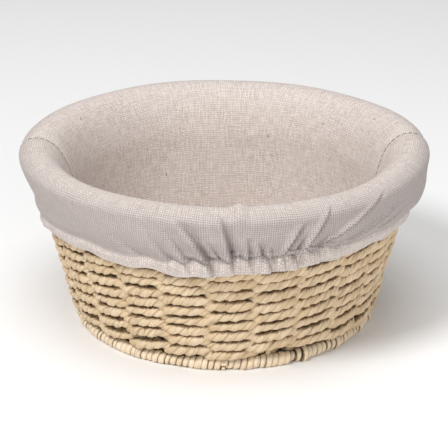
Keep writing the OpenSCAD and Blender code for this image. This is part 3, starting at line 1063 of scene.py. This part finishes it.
def build_floor():
    """Round bottom of the liner, slightly puckered along its seam."""
    source = np.random.default_rng(62)
    radii = np.concatenate([np.linspace(2, 56, 18), np.linspace(58, floor_r / MM, 8)]) * MM
    a, r = np.meshgrid(np.linspace(0, TURN, 200, endpoint=False), radii)
    share = r / floor_r
    sway = ring_noise(a, (2, 3, 5), 0.25 * MM, source) * 4 * share * (1 - share)
    pucker = 0.12 * MM * np.sin(46 * a) * bell(r - floor_r, 6 * MM)
    points = place(a, r, floor_z + CLOTH + sway + pucker)
    rows, cols = points.shape[:2]
    uv = np.stack([points[..., 0] / MM + 0.17 * points[..., 1] / MM, points[..., 1] / MM], -1)
    i = np.arange(rows - 1)[:, None] * cols
    j = np.arange(cols)[None, :]
    k = (j + 1) % cols
    top = np.stack([i + j, i + k, i + k + cols, i + j + cols], -1).reshape(-1, 4)[:, ::-1]
    n = rows * cols
    faces = top.tolist() + (top[:, ::-1] + n).tolist()
    faces.append(list(range(cols)))
    faces.append(list(range(n, n + cols))[::-1])
    outer = n - cols
    for q in range(cols):
        w = (q + 1) % cols
        faces.append([outer + q, outer + w, outer + w + n, outer + q + n])
    lower = points - np.array([0, 0, CLOTH])
    verts = np.concatenate([points.reshape(-1, 3), lower.reshape(-1, 3)])
    make_piece("liner_floor_cloth", verts, faces, linen, "liner", ("liner_base",),
               uv=np.concatenate([uv.reshape(-1, 2)] * 2))


def add_stitches(bundle, path, lift, length, gap, thick, bow):
    """Row of short raised stitches along a path. lift is the outward direction at each point."""
    even, s = even_steps(path, 0.25 * MM)
    out = read_at(s, np.linspace(0, s[-1], len(path)), lift)
    knots, sides = 7, 6
    arch = np.sin(math.pi * np.linspace(0, 1, knots))
    theta = np.arange(sides) * TURN / sides
    rho = thick * (0.35 + 0.65 * arch)[:, None]
    for start in np.arange(gap, s[-1] - length, length + gap):
        pick = np.linspace(start, start + length, knots)
        o = unit(read_at(pick, s, out))
        p = read_at(pick, s, even) + o * ((arch - 0.4) * bow)[:, None]
        side = unit(np.cross(unit(np.gradient(p, axis=0)), o))
        bundle.add(skin(p, rho * np.cos(theta), rho * np.sin(theta), o, side))


def build_seams(cuff, front, back):
    """Stitch lines: hem, both side seams and the seam round the liner's floor."""
    seam_row = cuff.INNER + cuff.NECK + cuff.OUTER - 1

    def build_seam(name, material, node, runs, length, gap, thick, bow):
        """Stitches along runs of the cloth. A run has its points and the cloth's outward side."""
        bundle = Bundle()
        for line, out in runs:
            add_stitches(bundle, line + out * CLOTH / 2, out, length, gap, thick, bow)
        bundle.piece(name, material, "liner", "sewing_thread", node)

    for column, side in ((-1, "right"), (0, "left")):
        down = slice(2, seam_row + 1), column
        runs = [(front[down], -grid_normals(front)[down])]
        build_seam(f"side_seam_stitches_{side}", stitch, f"side_seam_thread_{side}", runs,
                   1.9 * MM, 1.2 * MM, 0.36 * MM, 0.45 * MM)
    runs = [(half[seam_row], -grid_normals(half)[seam_row]) for half in (front, back)]
    build_seam("hem_stitches", hem_stitch, "hem_thread", runs, 1.6 * MM, 1.4 * MM, 0.12 * MM, 0.10 * MM)
    a = np.linspace(0, TURN, 800)
    runs = [(place(a, floor_r - 1.1 * MM, floor_z + 0.4 * MM), place(a, 0, 1))]
    build_seam("floor_seam_stitches", stitch, "base_seam_thread", runs,
               2.2 * MM, 0.9 * MM, 0.22 * MM, 0.2 * MM)


def build_elastic():
    """Flat elastic that runs inside the hem."""
    count = 720
    a = np.linspace(0, TURN, count, endpoint=False)
    hem = hem_height(a)
    half_t, middle = 0.22 * MM, 0.95 * MM
    low, high = 1.6 * MM, 5.4 * MM
    corners = [(-half_t, low), (half_t, low), (half_t, high), (-half_t, high)]
    points = np.stack(
        [place(a, wall_face(hem + up) + middle + off, hem + up) for off, up in corners], 1)
    faces = []
    for i in range(count):
        j = (i + 1) % count
        for k in range(4):
            m = (k + 1) % 4
            faces.append([4 * i + k, 4 * i + m, 4 * j + m, 4 * j + k])
    make_piece("hem_elastic_band", points.reshape(-1, 3), faces, rubber, "liner",
               ("hem_elastic",))


cuff, front_grid, back_grid = build_liner()
build_seams(cuff, front_grid, back_grid)
build_elastic()


# ---- stage, camera and light

def build_stage():
    bpy.ops.mesh.primitive_plane_add(size=6, location=(0, 0, -0.02 * MM))
    ground = bpy.context.object
    ground.name = "studio_floor"
    material, _, _ = new_material("studio_floor", (0.93, 0.93, 0.93), 0.9)
    ground.data.materials.append(material)


def add_aimed(name, data, location, direction):
    """A light or camera at a place, looking in a direction."""
    thing = bpy.data.objects.new(name, data)
    thing.location = location
    thing.rotation_mode = "QUATERNION"
    thing.rotation_quaternion = direction.to_track_quat("-Z", "Y")
    bpy.context.scene.collection.objects.link(thing)
    return thing


def add_area_light(name, location, size, power):
    """A round lamp that shines on the middle of the basket."""
    data = bpy.data.lights.new(name, "AREA")
    data.shape = "DISK"
    data.size = size
    data.energy = power
    add_aimed(name, data, location, Vector((0, 0, 0.05)) - Vector(location))


def build_camera():
    """Camera 0.8 m from the basket's middle, looking down at it by 22 degrees."""
    elevation, distance = 22.147 * DEG, 0.8
    height = (cad_low.z + cad_high.z) / 2
    data = bpy.data.cameras.new("camera")
    data.sensor_width = 36
    data.lens = 129.0
    data.shift_y = -0.0075
    data.clip_start = 0.01
    back = Vector((0, -math.cos(elevation), math.sin(elevation)))
    location = Vector((0, 0, height)) + back * distance
    bpy.context.scene.camera = add_aimed("camera", data, location, -back)


def build_light():
    world = bpy.data.worlds.new("studio")
    bpy.context.scene.world = world
    world.use_nodes = True
    tree = world.node_tree
    background = tree.nodes["Background"]
    seen = tree.nodes.new("ShaderNodeLightPath")
    level = tree.nodes.new("ShaderNodeMapRange")
    level.inputs["To Min"].default_value = 0.36
    level.inputs["To Max"].default_value = 1.0
    tree.links.new(seen.outputs["Is Camera Ray"], level.inputs["Value"])
    tree.links.new(level.outputs["Result"], background.inputs["Strength"])
    background.inputs["Color"].default_value = (1.0, 1.0, 1.0, 1)
    add_area_light("key", (-0.72, -0.85, 1.4), 0.55, 17.5)
    add_area_light("fill", (0.6, -1.4, 0.6), 1.0, 5.5)
    add_area_light("top", (0.05, -0.2, 1.6), 1.0, 8.0)
    bpy.context.scene.view_settings.view_transform = "Standard"


build_stage()
build_camera()
build_light()
